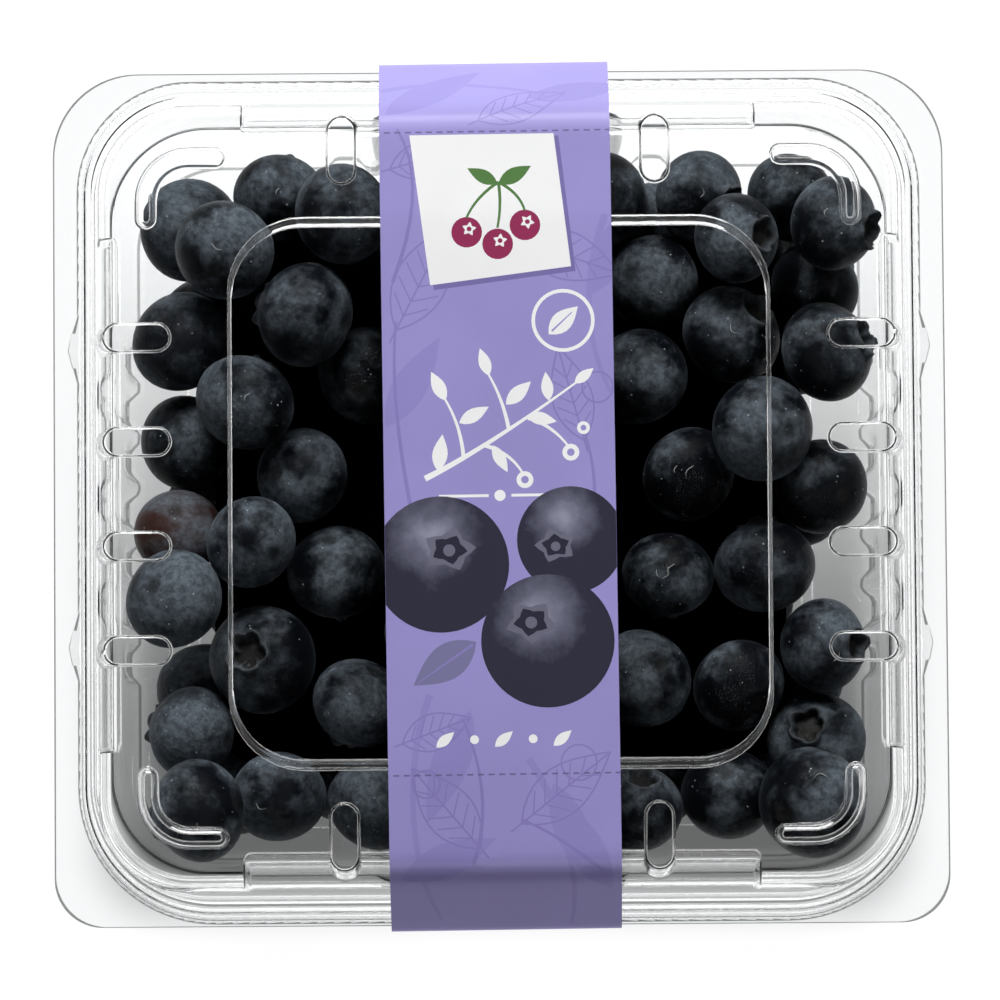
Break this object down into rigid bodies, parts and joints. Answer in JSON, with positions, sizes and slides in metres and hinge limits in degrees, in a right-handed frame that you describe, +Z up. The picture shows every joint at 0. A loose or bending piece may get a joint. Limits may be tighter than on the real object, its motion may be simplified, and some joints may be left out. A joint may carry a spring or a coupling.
{
  "type": "punnet of blueberries",
  "caption": "Shut clear plastic punnet filled with fresh blueberries, sealed by a purple paper band that runs round lid and tub.",
  "frame": {"origin": "on the floor under the middle of the pack", "axes": "+X to the pack's right, +Y to its back where the lid is hinged, +Z up; the lift tabs are at the front corners, -Y"},
  "size_m": [0.111, 0.1092, 0.0373],
  "materials": {
    "clear_shell": "clear thermoformed sheet, smooth and glossy",
    "printed_band": "coated paper printed purple, soft gloss, white cut edges",
    "fruit": "dark blue skin with a dusty grey bloom"
  },
  "bodies": {
    "root": {"tub": "clear_shell", "lid": "clear_shell", "band": "printed_band", "berries": "fruit"}
  },
  "joints": []
}
